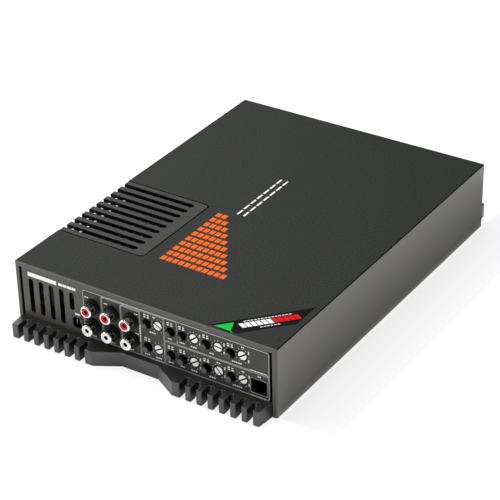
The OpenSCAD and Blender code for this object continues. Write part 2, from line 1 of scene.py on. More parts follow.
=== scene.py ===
# %% [markdown]
# # A car amplifier, dressed around its measured frame
# A car amplifier is a shallow metal case that hides under a seat. A folded cover sits on a
# heat-sink base, the controls are on the front panel and the wires go in at the rear.
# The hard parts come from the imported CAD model, and every place below is measured from the
# boxes of its nodes, so that the dressing follows the frame.
# Blender adds what CAD is poor at: paint, grain, worn edges, plating, printing and light.

# %% Load the frame
import json
import math

import bmesh
import bpy
from mathutils import Matrix, Vector


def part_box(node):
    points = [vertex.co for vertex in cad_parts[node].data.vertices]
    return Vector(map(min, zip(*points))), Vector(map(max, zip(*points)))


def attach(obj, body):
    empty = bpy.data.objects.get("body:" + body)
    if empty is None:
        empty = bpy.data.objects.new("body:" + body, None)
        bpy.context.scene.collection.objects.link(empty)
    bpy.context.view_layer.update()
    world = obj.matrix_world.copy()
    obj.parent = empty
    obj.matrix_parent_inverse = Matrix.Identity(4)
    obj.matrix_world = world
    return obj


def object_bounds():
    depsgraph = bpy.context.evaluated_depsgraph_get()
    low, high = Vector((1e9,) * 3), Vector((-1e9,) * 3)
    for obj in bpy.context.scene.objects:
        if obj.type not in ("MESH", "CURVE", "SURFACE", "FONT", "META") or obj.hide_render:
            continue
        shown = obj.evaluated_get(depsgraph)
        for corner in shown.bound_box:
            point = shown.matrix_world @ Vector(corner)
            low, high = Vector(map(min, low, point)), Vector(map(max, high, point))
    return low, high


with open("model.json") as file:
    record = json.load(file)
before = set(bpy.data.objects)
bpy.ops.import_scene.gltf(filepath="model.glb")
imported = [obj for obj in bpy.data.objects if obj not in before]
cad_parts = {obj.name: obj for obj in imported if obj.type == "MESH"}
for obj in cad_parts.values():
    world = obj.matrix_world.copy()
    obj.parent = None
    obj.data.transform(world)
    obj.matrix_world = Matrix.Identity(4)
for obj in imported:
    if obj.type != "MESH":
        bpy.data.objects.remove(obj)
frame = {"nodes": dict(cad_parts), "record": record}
cad_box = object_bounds()
nodes = frame["nodes"]
scene = bpy.context.scene
mm = 0.001
CASE = "amplifier"

# %% [markdown]
# ## The view
# A low, wide object reads best from above one corner through a long lens, which keeps parallel
# edges nearly parallel. The camera is placed by its direction, its distance and the point it
# looks at, which reads better than a raw matrix.

# %% Camera
azimuth, elevation, roll = math.radians(33.61), math.radians(30.859), math.radians(-1.272)
distance, aim = 1297.1 * mm, Vector((-23.056, 22.832, 0)) * mm
backward = Vector((math.sin(azimuth) * math.cos(elevation),
                   -math.cos(azimuth) * math.cos(elevation), math.sin(elevation)))
level_x = Vector((0, 0, 1)).cross(backward).normalized()
level_y = backward.cross(level_x)
camera_x = math.cos(roll) * level_x + math.sin(roll) * level_y
camera_y = math.cos(roll) * level_y - math.sin(roll) * level_x
camera_data = bpy.data.cameras.new("product_camera")
camera_data.sensor_width = 36
camera_data.lens = 133.26
camera = bpy.data.objects.new("product_camera", camera_data)
camera.matrix_world = (Matrix.Translation(aim + backward * distance)
                       @ Matrix((camera_x, camera_y, backward)).transposed().to_4x4())
scene.collection.objects.link(camera)
scene.camera = camera
print("camera at", [round(v, 3) for v in camera.matrix_world.translation])

# %% [markdown]
# ## Floor and light
# The case stands on a pale sweep under broad softboxes. Dark satin paint shows mostly what it
# reflects, so the boxes are big and their places decide how the top and the side read: the
# strongest one hangs overhead, and weaker ones at the left, behind and at the right shape the
# sides. The sweep glows a little for the camera alone, so its shadows stay light while the
# case still mirrors a real floor. A dark card, unseen by the camera, lies along the right side,
# so the side darkens towards its foot.

# %% Floor
def level_sheet(name, low_x, low_y, high_x, high_y, height, material):
    """A level rectangle of the stage."""
    mesh = bpy.data.meshes.new(name)
    mesh.from_pydata([(low_x, low_y, 0), (high_x, low_y, 0), (high_x, high_y, 0), (low_x, high_y, 0)],
                     [], [(0, 1, 2, 3)])
    mesh.materials.append(material)
    sheet = bpy.data.objects.new(name, mesh)
    sheet.location.z = height
    scene.collection.objects.link(sheet)
    return sheet


REACH = 6.0
GLOW_SHARE = 0.72
sweep = bpy.data.materials.new("pale_sweep")
sweep.use_nodes = True
paper = sweep.node_tree.nodes["Principled BSDF"]
paper.inputs["Base Color"].default_value = (0.95, 0.95, 0.95, 1)
paper.inputs["Roughness"].default_value = 0.9
glow = sweep.node_tree.nodes.new("ShaderNodeEmission")
ray = sweep.node_tree.nodes.new("ShaderNodeLightPath")
share = sweep.node_tree.nodes.new("ShaderNodeMath")
share.operation = "MULTIPLY"
share.inputs[1].default_value = GLOW_SHARE
blend_in = sweep.node_tree.nodes.new("ShaderNodeMixShader")
for source, target in ((ray.outputs["Is Camera Ray"], share.inputs[0]),
                       (share.outputs[0], blend_in.inputs[0]),
                       (paper.outputs[0], blend_in.inputs[1]), (glow.outputs[0], blend_in.inputs[2]),
                       (blend_in.outputs[0], sweep.node_tree.nodes["Material Output"].inputs[0])):
    sweep.node_tree.links.new(source, target)
floor = level_sheet("floor", -REACH, -REACH, REACH, REACH, cad_box[0].z - 0.1 * mm, sweep)
print("floor at", round(floor.location.z, 5))

# %% Dark card
card_paint = bpy.data.materials.new("card_black")
card_paint.use_nodes = True
card_coat = card_paint.node_tree.nodes["Principled BSDF"]
card_coat.inputs["Base Color"].default_value = (0.01, 0.01, 0.01, 1)
card_coat.inputs["Roughness"].default_value = 1.0
card = level_sheet("dark_card", cad_box[1].x + 2 * mm, cad_box[0].y + 15 * mm,
                   cad_box[1].x + 40 * mm, cad_box[1].y + 50 * mm, cad_box[0].z, card_paint)
card.visible_camera = card.visible_shadow = False
print("dark card", [round(v, 3) for v in card.dimensions])

# %% Sky and softboxes
world = bpy.data.worlds.new("studio")
world.use_nodes = True
world.node_tree.nodes["Background"].inputs["Color"].default_value = (1, 1, 1, 1)
world.node_tree.nodes["Background"].inputs["Strength"].default_value = 0.32
scene.world = world
scene.view_settings.view_transform = "Standard"


def softbox(name, place, aim_at, width, height, power):
    """A rectangular area light that faces a point."""
    data = bpy.data.lights.new(name, "AREA")
    data.shape = "RECTANGLE"
    data.size, data.size_y, data.energy = width, height, power
    lamp = bpy.data.objects.new(name, data)
    lamp.location = place
    lamp.rotation_euler = (Vector(aim_at) - Vector(place)).to_track_quat("-Z", "Y").to_euler()
    scene.collection.objects.link(lamp)
    return lamp


softbox("overhead_box", (-0.1, 0.0, 1.5), (0, 0, 0), 1.6, 1.6, 30)
softbox("left_box", (-1.1, -0.3, 0.8), (0, 0, 0.02), 0.8, 0.8, 9)
softbox("back_left_box", (-0.5, 0.42, 0.45), (0, -0.1, 0.05), 0.45, 0.45, 1.2)
softbox("right_box", (1.3, 0.3, 0.5), (0, 0, 0.02), 0.9, 0.5, 3)

# %% [markdown]
# ## Shared shader groups
# Several finishes need the same small effects. Each is a node group, built once and placed in
# a material with its own values: fine grain for blasted or powder-coated metal, slow mottling,
# a soft edge that catches light as a real edge does, and a box mask that limits a colour to
# one region. They read Object coordinates, so a pattern stays fixed to the metal.

# %% Node group helper
def shader_group(name, inputs, outputs):
    """An empty shader group with named sockets, and its input and output nodes."""
    group = bpy.data.node_groups.new(name, "ShaderNodeTree")
    for label, kind, value in inputs:
        socket = group.interface.new_socket(label, in_out="INPUT", socket_type="NodeSocket" + kind)
        socket.default_value = value
    for label, kind in outputs:
        group.interface.new_socket(label, in_out="OUTPUT", socket_type="NodeSocket" + kind)
    return group, group.nodes.new("NodeGroupInput"), group.nodes.new("NodeGroupOutput")


def add(tree, kind, **settings):
    """A new node, with its properties set."""
    node = tree.nodes.new(kind)
    for key, value in settings.items():
        setattr(node, key, value)
    return node


def math_node(tree, operation, first, second=None):
    """A Math node whose two values are sockets or plain numbers."""
    node = add(tree, "ShaderNodeMath", operation=operation)
    for socket, value in zip(node.inputs, (first, second)):
        if isinstance(value, bpy.types.NodeSocket):
            tree.links.new(value, socket)
        elif value is not None:
            socket.default_value = value
    return node.outputs[0]


# %% Grain and mottle
def noise_group(name, detail):
    """Noise of a stated size in metres, spread over 0 to 1."""
    group, start, end = shader_group(name, [("Size", "Float", 0.001)], [("Value", "Float")])
    place = add(group, "ShaderNodeTexCoord")
    noise = add(group, "ShaderNodeTexNoise")
    noise.inputs["Detail"].default_value = detail
    group.links.new(place.outputs["Object"], noise.inputs["Vector"])
    group.links.new(math_node(group, "DIVIDE", 1.0, start.outputs["Size"]), noise.inputs["Scale"])
    spread = add(group, "ShaderNodeMapRange")
    spread.inputs["From Min"].default_value = 0.3
    spread.inputs["From Max"].default_value = 0.7
    group.links.new(noise.outputs["Fac"], spread.inputs["Value"])
    group.links.new(spread.outputs["Result"], end.inputs["Value"])
    return group


grain_group = noise_group("fine_grain", 2)
mottle_group = noise_group("slow_mottle", 4)
print("groups", grain_group.name, mottle_group.name)


# %% Soft edges
edge_group, start, end = shader_group(
    "soft_edge", [("Radius", "Float", 0.0003)], [("Normal", "Vector"), ("Edge", "Float")])
rounded = add(edge_group, "ShaderNodeBevel", samples=4)
flat = add(edge_group, "ShaderNodeNewGeometry")
turn = add(edge_group, "ShaderNodeVectorMath", operation="DOT_PRODUCT")
spread = add(edge_group, "ShaderNodeMapRange")
spread.inputs["From Min"].default_value = 0.99
spread.inputs["From Max"].default_value = 0.80
edge_group.links.new(start.outputs["Radius"], rounded.inputs["Radius"])
edge_group.links.new(rounded.outputs["Normal"], turn.inputs[0])
edge_group.links.new(flat.outputs["Normal"], turn.inputs[1])
edge_group.links.new(turn.outputs["Value"], spread.inputs["Value"])
edge_group.links.new(rounded.outputs["Normal"], end.inputs["Normal"])
edge_group.links.new(spread.outputs["Result"], end.inputs["Edge"])
print("edge group has", len(edge_group.nodes), "nodes")

# %% Box mask
box_group, start, end = shader_group(
    "inside_box", [("Low", "Vector", (0, 0, 0)), ("High", "Vector", (0, 0, 0))], [("Mask", "Float")])
place = add(box_group, "ShaderNodeTexCoord")
sides = [add(box_group, "ShaderNodeSeparateXYZ") for _ in range(3)]
for node, source in zip(sides, (place.outputs["Object"], start.outputs["Low"], start.outputs["High"])):
    box_group.links.new(source, node.inputs[0])
mask = None
for axis in range(3):
    above = math_node(box_group, "GREATER_THAN", sides[0].outputs[axis], sides[1].outputs[axis])
    below = math_node(box_group, "LESS_THAN", sides[0].outputs[axis], sides[2].outputs[axis])
    both = math_node(box_group, "MULTIPLY", above, below)
    mask = both if mask is None else math_node(box_group, "MULTIPLY", mask, both)
box_group.links.new(mask, end.inputs["Mask"])
print("box mask ready")

# %% [markdown]
# ## Finishes
# Almost everything here is one recipe with different numbers: a colour that wanders slightly,
# a roughness that wanders with it, grain as a bump, and edges painted lighter as a painted
# highlight. One function makes such a finish, and the few special ones extend what it returns.

# %% The coated finish
def group_node(tree, group, **values):
    """Places a shader group in a tree and sets its inputs."""
    node = add(tree, "ShaderNodeGroup", node_tree=group)
    for key, value in values.items():
        node.inputs[key].default_value = value
    return node


def mix_colour(tree, mask, first, second):
    """A colour that goes from first to second as the mask rises; each is a socket or a colour."""
    node = add(tree, "ShaderNodeMix", data_type="RGBA")
    tree.links.new(mask, node.inputs["Factor"])
    for socket, value in ((node.inputs[6], first), (node.inputs[7], second)):
        if isinstance(value, bpy.types.NodeSocket):
            tree.links.new(value, socket)
        else:
            socket.default_value = (*value, 1)
    return node.outputs[2]


def mix_value(tree, mask, first, second):
    """A number that goes from first to second as the mask rises."""
    node = add(tree, "ShaderNodeMix", data_type="FLOAT")
    tree.links.new(mask, node.inputs["Factor"])
    for socket, value in ((node.inputs[2], first), (node.inputs[3], second)):
        if isinstance(value, bpy.types.NodeSocket):
            tree.links.new(value, socket)
        else:
            socket.default_value = value
    return node.outputs[0]


def coated(name, colour, roughness, metallic=0.0, grain=0.5, relief=0.02, edge=0.25,
           edge_highlight=None, wander=0.12, specular=0.5, clearcoat=0.0, ior=1.5):
    """A finish with wandering colour and gloss, grain and soft edges, with a painted highlight on the
    edges when an edge colour is given. Lengths are millimetres.
    """
    material = bpy.data.materials.new(name)
    material.use_nodes = True
    tree = material.node_tree
    shader = tree.nodes["Principled BSDF"]
    shader.inputs["Metallic"].default_value = metallic
    shader.inputs["Specular IOR Level"].default_value = specular
    shader.inputs["Coat Weight"].default_value = clearcoat
    shader.inputs["IOR"].default_value = ior
    mottle = group_node(tree, mottle_group, Size=14 * mm)
    grit = group_node(tree, grain_group, Size=grain * mm)
    soft = group_node(tree, edge_group, Radius=edge * mm)
    low = [c * (1 - wander) for c in colour]
    high = [c * (1 + wander) for c in colour]
    tint = mix_colour(tree, grit.outputs["Value"], low, high)
    # Painted highlight: the edge mask gives edges a lighter colour, as if they caught the light.
    if edge_highlight:
        tint = mix_colour(tree, soft.outputs["Edge"], tint, edge_highlight)
    tree.links.new(tint, shader.inputs["Base Color"])
    gloss = mix_value(tree, mottle.outputs["Value"], roughness * 0.92, min(1, roughness * 1.08))
    tree.links.new(gloss, shader.inputs["Roughness"])
    bump = add(tree, "ShaderNodeBump")
    bump.inputs["Distance"].default_value = relief * mm
    tree.links.new(grit.outputs["Value"], bump.inputs["Height"])
    tree.links.new(soft.outputs["Normal"], bump.inputs["Normal"])
    tree.links.new(bump.outputs["Normal"], shader.inputs["Normal"])
    return material


def grey(value):
    """A neutral linear colour."""
    return (value, value, value)


# %% One finish for each material slot
# The edge colours of the base, the grille and the fins are painted highlights.
finishes = {
    "base_casting": coated("black_anodised", (0.009, 0.009, 0.0086), 0.36, grain=0.5, relief=0.01,
                           edge=0.5, edge_highlight=(0.14, 0.14, 0.136), specular=0.8),
    "grille_paint": coated("satin_grey_paint", (0.0165, 0.0164, 0.0156), 0.5, grain=0.5, relief=0.012,
                           edge=0.4, edge_highlight=(0.06, 0.06, 0.057), specular=0.2),
    "screw_steel": coated("zinc_plated_steel", (0.56, 0.56, 0.54), 0.32, 1.0, relief=0.004),
    "black_steel": coated("black_oxide_steel", (0.03, 0.03, 0.03), 0.4, 0.6, relief=0.004),
    "fin_aluminium": coated("anodised_fins", (0.02, 0.02, 0.02), 0.4, 0.3, relief=0.006,
                            edge=0.3, edge_highlight=grey(0.1)),
    "bracket_metal": coated("sheet_aluminium", (0.55, 0.55, 0.54), 0.38, 1.0, relief=0.004),
    "black_plastic": coated("moulded_black", (0.004, 0.004, 0.004), 0.4, grain=0.3, relief=0.006,
                            ior=1.22),
    "fan_plastic": coated("fan_black", (0.014, 0.014, 0.014), 0.5, grain=0.3, relief=0.004),
    "board": coated("solder_mask_green", (0.02, 0.1, 0.035), 0.3, grain=1.2, relief=0.006),
    "brass": coated("turned_brass", (0.62, 0.46, 0.2), 0.28, 1.0, relief=0.003),
    "nickel": coated("bright_nickel", (0.74, 0.74, 0.72), 0.14, 1.0, relief=0.002, wander=0.03),
    "red_plastic": coated("moulded_red", (0.55, 0.012, 0.016), 0.3, grain=0.4, relief=0.003,
                          ior=1.35),
    "white_plastic": coated("moulded_white", (0.84, 0.84, 0.81), 0.32, grain=0.4, relief=0.003,
                            wander=0.03),
    # Painted shade: the gold contacts sit deep in the jacks, so their gold is painted dark.
    "gold": coated("shaded_gold_flash", (0.16, 0.11, 0.05), 0.3, 1.0, relief=0.002),
    "button_plastic": coated("button_black", (0.002, 0.002, 0.002), 0.25, grain=0.3, relief=0.003,
                             ior=1.22),
    "shaft_plastic": coated("shaft_white", (0.86, 0.86, 0.84), 0.3, grain=0.3, relief=0.003,
                            wander=0.03),
    "fuse_plastic": coated("fuse_green", (0.03, 0.38, 0.1), 0.18, grain=0.5, relief=0.002),
    "copper": coated("enamelled_copper", (0.42, 0.14, 0.05), 0.3, 0.9, grain=0.6, relief=0.01),
    "can_sleeve": coated("can_sleeve_blue", (0.012, 0.02, 0.06), 0.25, grain=0.6, relief=0.002),
}
print(len(finishes), "finishes")

# %% [markdown]
# ## The cover, the grille and the panels
# The cover has two coats. Its top is black powder coat, a fine wrinkle that sparkles, while
# the sides, the rims and the chamfers are smooth gunmetal. Two materials would need the mesh
# split, so one material holds both and a box mask chooses, with the border just under the
# rounded long edge. Box masks also paint shade: the walls of a slot, the inside of the case and
# the gap round the grille are painted nearly black as painted shade, and the front and rear
# rims are painted a darker gunmetal than the sides, also as painted shade.

# %% A mask over part of a finish
CASE_LOW, CASE_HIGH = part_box("case_shell")
FAR = 1.0


def over(material, low, high, colour=None, roughness=None):
    """Changes the colour or roughness of a finish inside one box; returns the mask."""
    tree = material.node_tree
    shader = tree.nodes["Principled BSDF"]
    mask = group_node(tree, box_group, Low=low, High=high).outputs["Mask"]
    if colour is not None:
        under = shader.inputs["Base Color"].links[0].from_socket
        tree.links.new(mix_colour(tree, mask, under, colour), shader.inputs["Base Color"])
    if roughness is not None:
        under = shader.inputs["Roughness"].links[0].from_socket
        tree.links.new(mix_value(tree, mask, under, roughness), shader.inputs["Roughness"])
    return mask


# The colour of painted shade in slots, holes, gaps and the inside of the case.
dark = grey(0.0015)
print("case from", [round(v, 4) for v in CASE_LOW], "to", [round(v, 4) for v in CASE_HIGH])

# %% Two-tone cover
rim = 0.8 * mm
cover = coated("cover_two_tone", (0.18, 0.178, 0.168), 0.36, grain=0.4, relief=0.006, edge=0.3,
               specular=0.16)
finishes["cover_paint"] = cover
tree = cover.node_tree
shader = tree.nodes["Principled BSDF"]
side_bump = shader.inputs["Normal"].links[0].from_node
wrinkle = group_node(tree, grain_group, Size=1.0 * mm).outputs["Value"]
black_coat = mix_colour(tree, wrinkle, (0.0005, 0.0008, 0.0005), (0.018, 0.0205, 0.0178))
top_mask = over(cover, (-FAR, CASE_LOW.y + rim, CASE_HIGH.z - 0.66 * mm),
                (FAR, CASE_HIGH.y - rim, FAR), black_coat, 0.6)
coarse = add(tree, "ShaderNodeBump")
coarse.inputs["Distance"].default_value = 0.05 * mm
tree.links.new(math_node(tree, "MULTIPLY", wrinkle, top_mask), coarse.inputs["Height"])
tree.links.new(side_bump.outputs["Normal"], coarse.inputs["Normal"])
tree.links.new(coarse.outputs["Normal"], shader.inputs["Normal"])
# Painted shade: the inside of the case, within the walls and under the top, is painted nearly black.
inner_x = CASE_HIGH.x - 3.15 * mm
over(cover, (-inner_x, -FAR, -FAR), (inner_x, FAR, CASE_HIGH.z - 3.05 * mm), dark, 0.7)
# Painted shade: the front and rear rims are painted a darker gunmetal than the sides.
for low_y, high_y in ((-FAR, CASE_LOW.y + rim), (CASE_HIGH.y - rim, FAR)):
    over(cover, (-FAR, low_y, -FAR), (FAR, high_y, FAR), (0.1, 0.099, 0.094))
grille_low, grille_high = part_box("vent_grille")
lip = 1.5 * mm
# Painted shade: the cover's walls round the grille opening are painted nearly black.
over(cover, (CASE_LOW.x + 0.3 * mm, grille_low.y - lip, grille_low.z - lip),
     (grille_high.x + lip, grille_high.y + lip, CASE_HIGH.z - 0.25 * mm), dark, 0.9)
for low_x, high_x in ((-FAR, CASE_LOW.x + 0.55 * mm), (CASE_HIGH.x - 0.55 * mm, FAR)):
    over(cover, (low_x, CASE_LOW.y + rim, CASE_HIGH.z - 0.66 * mm), (high_x, CASE_HIGH.y - rim, FAR),
         grey(0.0003), 0.9)
print("cover coat has", len(tree.nodes), "nodes")

# %% Grille
skin = 0.2 * mm
grille = finishes["grille_paint"]
# Painted shade: below its top skin and away from its left leg, the grille is painted nearly black, so the
# slot walls read as shaded.
over(grille, (grille_low.x + skin, -FAR, -FAR), (FAR, FAR, grille_high.z - skin), grey(0.0005), 0.9)
fins = finishes["fin_aluminium"]
fin_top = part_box("fin_block")[1].z
over(fins, (-FAR, -FAR, fin_top - 0.5 * mm), (FAR, FAR, FAR), grey(0.95), 0.5)
print("grille", [round(v, 4) for v in grille_high - grille_low])

# %% Level shafts with painted shade in the slot, buttons with a painted lit face, barrels with a painted dark reflection behind the bright rim
shaft_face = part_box("level_shaft_1")[0].y
# Painted shade: behind its front face the white shaft is painted dark, in the slot and round the sides.
over(finishes["shaft_plastic"], (-FAR, shaft_face + 0.12 * mm, -FAR), (FAR, FAR, FAR), dark, 0.7)
button_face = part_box("push_button_1")[0].y
# Painted highlight: the front face of each black button is painted grey, as lit, while the sides stay
# black.
over(finishes["button_plastic"], (-FAR, -FAR, -FAR), (FAR, button_face + 0.08 * mm, FAR), grey(0.085), 0.5)
barrel_low, barrel_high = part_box("rca_barrels")
# Painted reflection: behind their front 0.8 mm the nickel barrels are painted darker, as a dark
# reflection, so only the rim stays bright.
over(finishes["nickel"], (barrel_low.x - mm, barrel_low.y + 0.8 * mm, -FAR),
     (barrel_high.x + mm, 0, FAR), (0.3, 0.3, 0.29))
print("shafts from y", round(shaft_face, 4))

# %% White jack inserts with painted shade in the hole, and a painted highlight on the rim of the two-pin socket
white_low, white_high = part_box("rca_inserts_white")
ring, hole = (white_high.z - white_low.z) / 2, 1.75 * mm
# Painted shade: inside each white insert's centre hole the plastic is painted nearly black.
for middle_x in (white_low.x + ring, (white_low.x + white_high.x) / 2, white_high.x - ring):
    over(finishes["white_plastic"], (middle_x - hole, white_low.y + 0.3 * mm, white_low.z + ring - hole),
         (middle_x + hole, FAR, white_low.z + ring + hole), grey(0.006), 0.8)
plug_low, plug_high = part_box("remote_socket")
# Painted highlight: the front faces of the black two-pin socket are painted grey, as lit.
over(finishes["black_plastic"], (plug_low.x - mm, -FAR, plug_low.z - mm),
     (plug_high.x + mm, plug_low.y + 0.1 * mm, plug_high.z + mm), grey(0.07), 0.5)
print("insert radius", round(ring, 5))

# %% Panels with a darker printed field, and painted shade behind the face
PANEL_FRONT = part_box("front_panel")[0].y
PANEL_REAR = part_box("rear_panel")[1].y


def on_front(across, down):
    """A place on the front panel, by its millimetres from the case's left side and from its top."""
    return Vector((CASE_LOW.x + across * mm, PANEL_FRONT, CASE_HIGH.z - down * mm))


panel = coated("panel_satin", (0.08, 0.078, 0.074), 0.42, grain=0.35, relief=0.006, edge=0.3,
               specular=0.25)
finishes["panel_paint"] = panel
field_low, field_high = on_front(54.8, 39.1), on_front(194.4, 4.6)
over(panel, (field_low.x, -FAR, field_low.z), (field_high.x, 0, field_high.z), (0.043, 0.042, 0.0395))
# Painted shade: behind their outer faces the panels' edges and hole walls are painted nearly black.
over(panel, (-FAR, PANEL_FRONT + 0.1 * mm, -FAR), (FAR, PANEL_REAR - 0.1 * mm, FAR), dark, 0.7)
print("printed field", [round(v, 4) for v in field_low], [round(v, 4) for v in field_high])

# %% Give every CAD node its finish
slot_of = {part["node"]: part["material_slot"] for part in frame["record"]["subparts"]}
for name, thing in nodes.items():
    thing.data.materials.clear()
    thing.data.materials.append(finishes[slot_of[name]])
print("dressed", len(slot_of), "nodes in", len(set(slot_of.values())), "finishes")

# %% [markdown]
# ## Printing
# The panel carries screen-printed frames, dial marks and short labels, and the top carries a
# larger print. A print could be painted in the material, but thin geometry stays sharp from
# any distance and survives the export, so each mark is a plate of ink a few hundredths of a
# millimetre thick. Marks repeat by the hundred, which is what Geometry Nodes are for: a point
# cloud says where each mark goes and how big it is, and one small tree turns points to ink.
# All labels are plain dashes, so that nothing can be read.

# %% Helpers that build and run a Geometry Nodes tree
def geometry_tree(name, inputs):
    """A Geometry Nodes tree with a material input and the stated ones."""
    tree = bpy.data.node_groups.new(name, "GeometryNodeTree")
    tree.interface.new_socket("Geometry", in_out="INPUT", socket_type="NodeSocketGeometry")
    tree.interface.new_socket("Material", in_out="INPUT", socket_type="NodeSocketMaterial")
    for label, kind, value in inputs:
        socket = tree.interface.new_socket(label, in_out="INPUT", socket_type="NodeSocket" + kind)
        socket.default_value = value
    tree.interface.new_socket("Geometry", in_out="OUTPUT", socket_type="NodeSocketGeometry")
    return tree, tree.nodes.new("NodeGroupInput"), tree.nodes.new("NodeGroupOutput")


def wire(tree, *pairs):
    """Links each pair of sockets."""
    for source, target in pairs:
        tree.links.new(source, target)


def finish_tree(tree, start, end, geometry):
    """Every tree ends alike: instances made real, and the material set."""
    real = add(tree, "GeometryNodeRealizeInstances")
    paint = add(tree, "GeometryNodeSetMaterial")
    wire(tree, (geometry, real.inputs["Geometry"]), (real.outputs["Geometry"], paint.inputs["Geometry"]),
         (start.outputs["Material"], paint.inputs["Material"]),
         (paint.outputs["Geometry"], end.inputs["Geometry"]))


def run_tree(name, tree, mesh, material, **values):
    """Runs a tree on a mesh and returns the result as a plain mesh object at the origin."""
    host = bpy.data.objects.new(name + "_host", mesh)
    scene.collection.objects.link(host)
    modifier = host.modifiers.new("build", "NODES")
    modifier.node_group = tree
    values["Material"] = material
    for item in tree.interface.items_tree:
        if item.in_out == "INPUT" and item.name in values:
            modifier[item.identifier] = values[item.name]
    graph = bpy.context.evaluated_depsgraph_get()
    made = bpy.data.meshes.new_from_object(host.evaluated_get(graph))
    made.name = name
    bpy.data.objects.remove(host)
    piece = bpy.data.objects.new(name, made)
    scene.collection.objects.link(piece)
    return piece


def joined(name, pieces):
    """Several mesh objects of one material made into one."""
    blend = bmesh.new()
    for piece in pieces:
        blend.from_mesh(piece.data)
    mesh = bpy.data.meshes.new(name)
    blend.to_mesh(mesh)
    blend.free()
    mesh.materials.append(pieces[0].data.materials[0])
    for piece in pieces:
        bpy.data.objects.remove(piece)
    whole = bpy.data.objects.new(name, mesh)
    scene.collection.objects.link(whole)
    return whole


# %% A tree that turns points into blocks of ink
block_tree, start, end = geometry_tree("ink_blocks", [])
unit = add(block_tree, "GeometryNodeMeshCube")
put = add(block_tree, "GeometryNodeInstanceOnPoints")
size_of, turn_of = (add(block_tree, "GeometryNodeInputNamedAttribute", data_type="FLOAT_VECTOR")
                    for _ in range(2))
size_of.inputs["Name"].default_value = "size"
turn_of.inputs["Name"].default_value = "turn"
wire(block_tree, (start.outputs["Geometry"], put.inputs["Points"]),
     (unit.outputs["Mesh"], put.inputs["Instance"]),
     (size_of.outputs["Attribute"], put.inputs["Scale"]),
     (turn_of.outputs["Attribute"], put.inputs["Rotation"]))
finish_tree(block_tree, start, end, put.outputs["Instances"])


def mark_points(marks):
    """A mesh of loose points from (place, size, turn), each of which carries its size and turn."""
    mesh = bpy.data.meshes.new("marks")
    mesh.from_pydata([mark[0] for mark in marks], [], [])
    for label, index in (("size", 1), ("turn", 2)):
        attribute = mesh.attributes.new(label, "FLOAT_VECTOR", "POINT")
        for item, mark in zip(attribute.data, marks):
            item.vector = mark[index]
    return mesh


print("ink tree has", len(block_tree.nodes), "nodes")

# %% A tree for the printed frames
frame_tree, start, end = geometry_tree("printed_frame", [
    ("Width", "Float", 0.1), ("Height", "Float", 0.03), ("Corner", "Float", 0.002),
    ("Line", "Float", 0.0008), ("Ink", "Float", 0.00004), ("Place", "Vector", (0, 0, 0))])
outline = add(frame_tree, "GeometryNodeCurvePrimitiveQuadrilateral")
section = add(frame_tree, "GeometryNodeCurvePrimitiveQuadrilateral")
rounding = add(frame_tree, "GeometryNodeFilletCurve", mode="POLY")
rounding.inputs["Count"].default_value = 6
sweep = add(frame_tree, "GeometryNodeCurveToMesh")
stand = add(frame_tree, "GeometryNodeTransform")
stand.inputs["Rotation"].default_value = (math.pi / 2, 0, 0)
wire(frame_tree, (start.outputs["Width"], outline.inputs["Width"]),
     (start.outputs["Height"], outline.inputs["Height"]),
     (outline.outputs["Curve"], rounding.inputs["Curve"]),
     (start.outputs["Corner"], rounding.inputs["Radius"]),
     (start.outputs["Line"], section.inputs["Width"]),
     (start.outputs["Ink"], section.inputs["Height"]),
     (rounding.outputs["Curve"], sweep.inputs["Curve"]),
     (section.outputs["Curve"], sweep.inputs["Profile Curve"]),
     (sweep.outputs["Mesh"], stand.inputs["Geometry"]),
     (start.outputs["Place"], stand.inputs["Translation"]))
finish_tree(frame_tree, start, end, stand.outputs["Geometry"])
print("frame tree has", len(frame_tree.nodes), "nodes")

# %% Inks
white_ink = coated("ink_white", grey(0.6), 0.45, grain=0.3, relief=0.002, wander=0.03,
                   specular=0.2)
panel_ink = coated("ink_panel_white", grey(0.86), 0.45, grain=0.3, relief=0.002, wander=0.03,
                   specular=0.2)
line_ink = coated("ink_line_grey", grey(0.5), 0.45, grain=0.3, relief=0.002, wander=0.03,
                  specular=0.2)
grey_ink = coated("ink_grey", (0.33, 0.34, 0.33), 0.45, grain=0.3, relief=0.002, wander=0.04,
                  specular=0.2)
orange_ink = coated("ink_orange", (0.6, 0.095, 0.006), 0.5, grain=0.5, relief=0.004,
                    wander=0.06, ior=1.12)
INK = 0.04 * mm


def dash(across, down, width, height, proud=0.0):
    """One dash of ink on the front panel, by its middle and its size in millimetres."""
    place = on_front(across, down) - Vector((0, proud * mm, 0))
    return (place, (width * mm, INK, height * mm), (0, 0, 0))


print("inks ready")

# %% Frames on the panel
# Each is (left, top, right, bottom, line width, ink); the broad grey ones part the groups.
frames = [
    (54.8, 4.6, 194.4, 39.1, 0.5, line_ink), (84.2, 6.5, 98.8, 39.0, 1.4, grey_ink),
    (69.4, 5.3, 98.8, 39.0, 1.5, grey_ink), (98.8, 5.3, 117.3, 38.7, 1.3, grey_ink),
    (117.3, 5.0, 127.2, 21.7, 0.9, grey_ink), (117.7, 22.0, 194.2, 39.0, 0.5, grey_ink)]
made = {line_ink: [], grey_ink: []}
for index, (left, top, right, bottom, line, ink) in enumerate(frames):
    middle = on_front((left + right) / 2, (top + bottom) / 2)
    made[ink].append(run_tree(
        f"frame_{index}", frame_tree, bpy.data.meshes.new("empty"), ink,
        Width=(right - left) * mm, Height=(bottom - top) * mm, Corner=1.6 * mm, Line=line * mm,
        Ink=INK * (1 + 0.2 * (len(frames) - index)), Place=middle))
band = mark_points([dash(155.9, 21.6, 76.6, 1.4)])
made[grey_ink].append(run_tree("band", block_tree, band, grey_ink))
socket_low, socket_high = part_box("data_socket")
